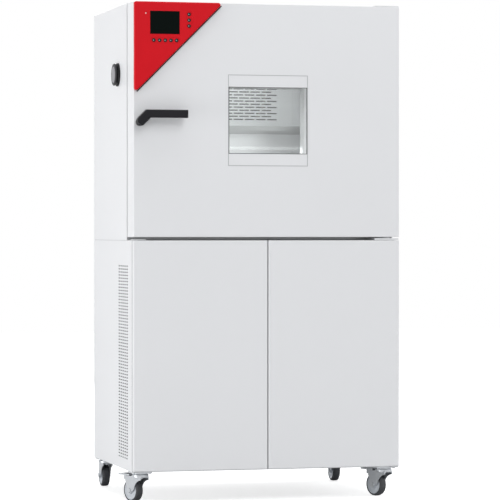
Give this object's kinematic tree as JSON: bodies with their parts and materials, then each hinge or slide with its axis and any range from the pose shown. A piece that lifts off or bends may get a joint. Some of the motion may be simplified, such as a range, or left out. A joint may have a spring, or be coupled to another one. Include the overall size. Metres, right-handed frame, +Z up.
{
  "type": "environmental test chamber",
  "caption": "Insulated climate test chamber with windowed front door, corner control panel and angled handle, over a machine cabinet with slotted side vents, on swivel casters.",
  "frame": {"origin": "on the floor, under the middle of the whole object's box", "axes": "+X to the right seen from the front, +Y from the front to the rear, +Z up"},
  "size_m": [0.931, 0.7336, 1.605],
  "materials": {
    "white_paint": "satin powder coat",
    "stainless": "fine satin",
    "foam": "rigid foam",
    "zinc_sheet": "galvanised",
    "machine_black": "satin enamel",
    "heater_steel": "dull",
    "fin_aluminium": "mill finish",
    "grey_paint": "satin",
    "copper_pipe": "drawn copper",
    "zinc_plate": "bright zinc",
    "black_plastic": "fine grain",
    "black_rubber": "matt",
    "window_glass": "clear",
    "frame_plastic": "satin",
    "red_plastic": "gloss",
    "display_glass": "gloss",
    "plug_rubber": "matt silicone",
    "wheel_plastic": "satin",
    "grey_tyre": "matt"
  },
  "bodies": {
    "housing": {"upper_casing": "white_paint", "front_collar": "stainless", "inner_chamber": "stainless", "chamber_insulation": "foam", "rear_panels": "zinc_sheet", "air_baffle": "stainless", "fan_motor": "machine_black", "heater_coil": "heater_steel", "evaporator": "fin_aluminium", "port_sleeve": "black_plastic", "door_fittings": "white_paint", "base_frame": "zinc_sheet", "side_panel_left": "white_paint", "side_panel_right": "white_paint", "compressor": "machine_black", "condenser": "fin_aluminium", "condenser_shroud": "zinc_sheet", "control_box": "grey_paint", "refrigerant_pipes": "copper_pipe", "rear_connections": "black_plastic", "caster_plates": "zinc_plate"},
    "door": {"door_skin": "white_paint", "door_insulation": "foam", "door_liner": "stainless", "door_gasket": "black_rubber", "window_panes": "window_glass", "window_frame": "frame_plastic", "window_bands": "white_paint", "panel_housing": "red_plastic", "display": "display_glass"},
    "handle": {"door_handle": "black_plastic"},
    "lower_left_door": {"lower_door_left": "white_paint"},
    "lower_right_door": {"lower_door_right": "white_paint"},
    "shelf_body": {"shelf": "stainless"},
    "plug": {"port_plug": "plug_rubber"},
    "chamber_fan": {"circulation_fan": "fin_aluminium"},
    "cooling_fan": {"condenser_fan": "black_plastic"},
    "switch_knob": {"main_switch": "red_plastic"},
    "soft_key_1": {"soft_key_1": "red_plastic"},
    "soft_key_2": {"soft_key_2": "red_plastic"},
    "soft_key_3": {"soft_key_3": "red_plastic"},
    "soft_key_4": {"soft_key_4": "red_plastic"},
    "soft_key_5": {"soft_key_5": "red_plastic"},
    "side_key_1": {"side_key_1": "red_plastic"},
    "side_key_2": {"side_key_2": "red_plastic"},
    "side_key_3": {"side_key_3": "red_plastic"},
    "caster_front_left": {"fork_front_left": "zinc_plate"},
    "wheel_front_left": {"wheel_front_left": "wheel_plastic", "tyre_front_left": "grey_tyre"},
    "brake_front_left": {"brake_pedal_front_left": "zinc_plate"},
    "caster_front_right": {"fork_front_right": "zinc_plate"},
    "wheel_front_right": {"wheel_front_right": "wheel_plastic", "tyre_front_right": "grey_tyre"},
    "brake_front_right": {"brake_pedal_front_right": "zinc_plate"},
    "caster_rear_left": {"fork_rear_left": "zinc_plate"},
    "wheel_rear_left": {"wheel_rear_left": "wheel_plastic", "tyre_rear_left": "grey_tyre"},
    "caster_rear_right": {"fork_rear_right": "zinc_plate"},
    "wheel_rear_right": {"wheel_rear_right": "wheel_plastic", "tyre_rear_right": "grey_tyre"}
  },
  "joints": [
    {"name": "door_hinge", "type": "hinge", "parent": "housing", "child": "door", "pos_m": [0.4205, -0.29475, 0.852], "axis": [0, 0, 1], "range_deg": [0, 115]},
    {"name": "handle_turn", "type": "hinge", "parent": "door", "child": "handle", "pos_m": [-0.4265, -0.32975, 1.222], "axis": [0, -1, 0], "range_deg": [0, 80]},
    {"name": "lower_left_hinge", "type": "hinge", "parent": "housing", "child": "lower_left_door", "pos_m": [-0.4315, -0.30575, 0.47], "axis": [0, 0, -1], "range_deg": [0, 110]},
    {"name": "lower_right_hinge", "type": "hinge", "parent": "housing", "child": "lower_right_door", "pos_m": [0.4315, -0.30575, 0.47], "axis": [0, 0, 1], "range_deg": [0, 110]},
    {"name": "shelf_slide", "type": "slide", "parent": "housing", "child": "shelf_body", "axis": [0, -1, 0], "range_m": [0, 0.05]},
    {"name": "plug_pull", "type": "slide", "parent": "housing", "child": "plug", "axis": [-1, 0, 0], "range_m": [0, 0.14]},
    {"name": "chamber_fan_spin", "type": "hinge", "parent": "housing", "child": "chamber_fan", "pos_m": [0, 0.18325, 1.338], "axis": [0, 1, 0], "continuous": true},
    {"name": "cooling_fan_spin", "type": "hinge", "parent": "housing", "child": "cooling_fan", "pos_m": [-0.3125, -0.10175, 0.42], "axis": [1, 0, 0], "continuous": true},
    {"name": "switch_turn", "type": "hinge", "parent": "housing", "child": "switch_knob", "pos_m": [0.4525, -0.19675, 0.69], "axis": [1, 0, 0], "range_deg": [0, 90]},
    {"name": "soft_key_1_press", "type": "slide", "parent": "door", "child": "soft_key_1", "axis": [0, 1, 0], "range_m": [0, 0.0015], "stiffness_N_per_m": 200},
    {"name": "soft_key_2_press", "type": "slide", "parent": "door", "child": "soft_key_2", "axis": [0, 1, 0], "range_m": [0, 0.0015], "stiffness_N_per_m": 200},
    {"name": "soft_key_3_press", "type": "slide", "parent": "door", "child": "soft_key_3", "axis": [0, 1, 0], "range_m": [0, 0.0015], "stiffness_N_per_m": 200},
    {"name": "soft_key_4_press", "type": "slide", "parent": "door", "child": "soft_key_4", "axis": [0, 1, 0], "range_m": [0, 0.0015], "stiffness_N_per_m": 200},
    {"name": "soft_key_5_press", "type": "slide", "parent": "door", "child": "soft_key_5", "axis": [0, 1, 0], "range_m": [0, 0.0015], "stiffness_N_per_m": 200},
    {"name": "side_key_1_press", "type": "slide", "parent": "door", "child": "side_key_1", "axis": [0, 1, 0], "range_m": [0, 0.0015], "stiffness_N_per_m": 200},
    {"name": "side_key_2_press", "type": "slide", "parent": "door", "child": "side_key_2", "axis": [0, 1, 0], "range_m": [0, 0.0015], "stiffness_N_per_m": 200},
    {"name": "side_key_3_press", "type": "slide", "parent": "door", "child": "side_key_3", "axis": [0, 1, 0], "range_m": [0, 0.0015], "stiffness_N_per_m": 200},
    {"name": "swivel_front_left", "type": "hinge", "parent": "housing", "child": "caster_front_left", "pos_m": [-0.4085, -0.25475, 0.09], "axis": [0, 0, 1], "continuous": true},
    {"name": "roll_front_left", "type": "hinge", "parent": "caster_front_left", "child": "wheel_front_left", "pos_m": [-0.42371, -0.22212, 0.0375], "axis": [0.9063, 0.4226, 0], "continuous": true},
    {"name": "brake_front_left_press", "type": "hinge", "parent": "caster_front_left", "child": "brake_front_left", "pos_m": [-0.43132, -0.20581, 0.0762], "axis": [-0.9063, -0.4226, 0], "range_deg": [0, 10], "stiffness_Nm_per_rad": 0.6},
    {"name": "swivel_front_right", "type": "hinge", "parent": "housing", "child": "caster_front_right", "pos_m": [0.4085, -0.25475, 0.09], "axis": [0, 0, 1], "continuous": true},
    {"name": "roll_front_right", "type": "hinge", "parent": "caster_front_right", "child": "wheel_front_right", "pos_m": [0.39329, -0.22212, 0.0375], "axis": [0.9063, 0.4226, 0], "continuous": true},
    {"name": "brake_front_right_press", "type": "hinge", "parent": "caster_front_right", "child": "brake_front_right", "pos_m": [0.38568, -0.20581, 0.0762], "axis": [-0.9063, -0.4226, 0], "range_deg": [0, 10], "stiffness_Nm_per_rad": 0.6},
    {"name": "swivel_rear_left", "type": "hinge", "parent": "housing", "child": "caster_rear_left", "pos_m": [-0.4085, 0.29325, 0.09], "axis": [0, 0, 1], "continuous": true},
    {"name": "roll_rear_left", "type": "hinge", "parent": "caster_rear_left", "child": "wheel_rear_left", "pos_m": [-0.4085, 0.32925, 0.0375], "axis": [1, 0, 0], "continuous": true},
    {"name": "swivel_rear_right", "type": "hinge", "parent": "housing", "child": "caster_rear_right", "pos_m": [0.4085, 0.29325, 0.09], "axis": [0, 0, 1], "continuous": true},
    {"name": "roll_rear_right", "type": "hinge", "parent": "caster_rear_right", "child": "wheel_rear_right", "pos_m": [0.4085, 0.32925, 0.0375], "axis": [1, 0, 0], "continuous": true}
  ]
}
